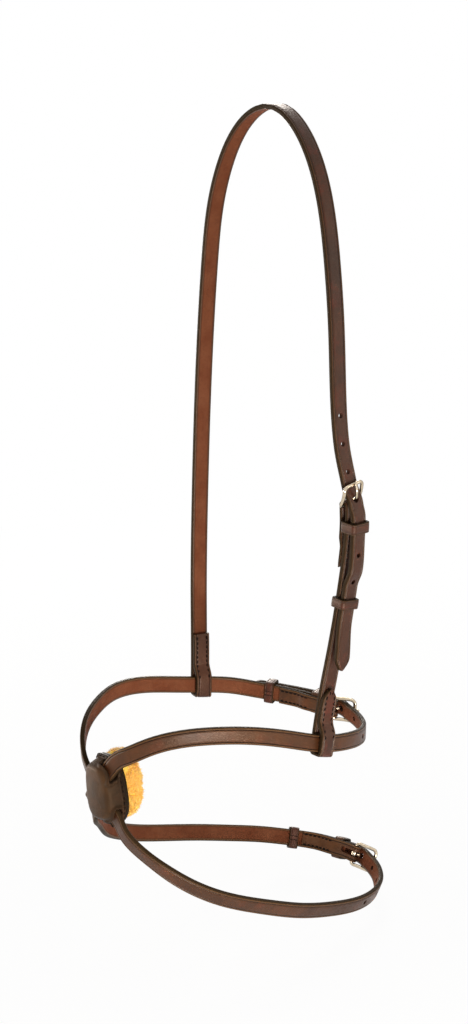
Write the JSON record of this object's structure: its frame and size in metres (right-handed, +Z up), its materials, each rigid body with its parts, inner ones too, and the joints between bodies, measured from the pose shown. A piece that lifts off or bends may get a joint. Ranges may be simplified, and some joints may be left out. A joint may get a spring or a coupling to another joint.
{
  "type": "figure eight noseband",
  "caption": "Leather figure eight noseband: straps crossing under a fleece-backed nose patch, a headpiece looped on them over the poll, and buckles at cheek, jaw and chin.",
  "frame": {"origin": "middle of the flat inner face of the headpiece where it lies on the poll", "axes": "+Z up along the hanging headpiece, +X from the nose patch to the jaw buckle, +Y from the near, buckled side to the far side"},
  "size_m": [0.2862, 0.1899, 0.6618],
  "materials": {
    "strap_leather": "dark havana bridle leather, satin",
    "patch_leather": "soft brown leather, satin",
    "hardware": "polished nickel",
    "fleece": "golden sheepskin pile"
  },
  "bodies": {
    "headpiece": {"crown_strap": "strap_leather", "near_cheek_strap": "strap_leather", "head_fixed_keeper": "strap_leather"},
    "head_buckle": {"head_buckle_frame": "hardware"},
    "head_tongue": {"head_buckle_tongue": "hardware"},
    "head_keeper": {"head_sliding_keeper": "strap_leather"},
    "nose_straps": {"near_upper_far_lower_strap": "strap_leather", "far_upper_near_lower_strap": "strap_leather", "patch_cover": "patch_leather", "patch_backing": "patch_leather", "fleece_pad": "fleece", "jaw_fixed_keeper": "strap_leather", "chin_fixed_keeper": "strap_leather"},
    "jaw_buckle": {"jaw_buckle_frame": "hardware"},
    "jaw_tongue": {"jaw_buckle_tongue": "hardware"},
    "jaw_keeper": {"jaw_sliding_keeper": "strap_leather"},
    "chin_buckle": {"chin_buckle_frame": "hardware"},
    "chin_tongue": {"chin_buckle_tongue": "hardware"},
    "chin_keeper": {"chin_sliding_keeper": "strap_leather"}
  },
  "joints": [
    {"name": "cheek_loops_swing", "type": "hinge", "parent": "headpiece", "child": "nose_straps", "pos_m": [-0.0127, -0.00055, -0.48865], "axis": [0.0393, 0.9992, 0.008], "range_deg": [-4, 4]},
    {"name": "head_buckle_turn", "type": "hinge", "parent": "headpiece", "child": "head_buckle", "pos_m": [0.00814, -0.08443, -0.29653], "axis": [0.986, 0.0696, 0.1519], "range_deg": [0, 1.5]},
    {"name": "head_tongue_turn", "type": "hinge", "parent": "head_buckle", "child": "head_tongue", "pos_m": [0.00814, -0.08443, -0.29653], "axis": [0.986, 0.0696, 0.1519], "range_deg": [0, 2.5]},
    {"name": "jaw_buckle_turn", "type": "hinge", "parent": "nose_straps", "child": "jaw_buckle", "pos_m": [0.05882, -0.00946, -0.49802], "axis": [-0.0108, -0.0494, 0.9987], "range_deg": [0, 1.5]},
    {"name": "jaw_tongue_turn", "type": "hinge", "parent": "jaw_buckle", "child": "jaw_tongue", "pos_m": [0.05882, -0.00946, -0.49802], "axis": [-0.0108, -0.0494, 0.9987], "range_deg": [0, 2.5]},
    {"name": "chin_buckle_turn", "type": "hinge", "parent": "nose_straps", "child": "chin_buckle", "pos_m": [0.09589, 0.00371, -0.64344], "axis": [0.3834, -0.0498, 0.9222], "range_deg": [0, 1.5]},
    {"name": "chin_tongue_turn", "type": "hinge", "parent": "chin_buckle", "child": "chin_tongue", "pos_m": [0.09589, 0.00371, -0.64344], "axis": [0.3834, -0.0498, 0.9222], "range_deg": [0, 2.5]},
    {"name": "head_keeper_slide", "type": "slide", "parent": "headpiece", "child": "head_keeper", "axis": [-0.1345, 0.0485, -0.9897], "range_m": [-0.011, 0.011]},
    {"name": "jaw_keeper_slide", "type": "hinge", "parent": "nose_straps", "child": "jaw_keeper", "pos_m": [-0.05571, -0.01497, -0.46086], "axis": [0.2787, 0.1062, 0.9545], "range_deg": [-2.4, 4.9]},
    {"name": "chin_keeper_slide", "type": "hinge", "parent": "nose_straps", "child": "chin_keeper", "pos_m": [0.03867, 0.00741, -0.62119], "axis": [0.2981, 0.1619, 0.9407], "range_deg": [-2.9, 9.7]}
  ]
}
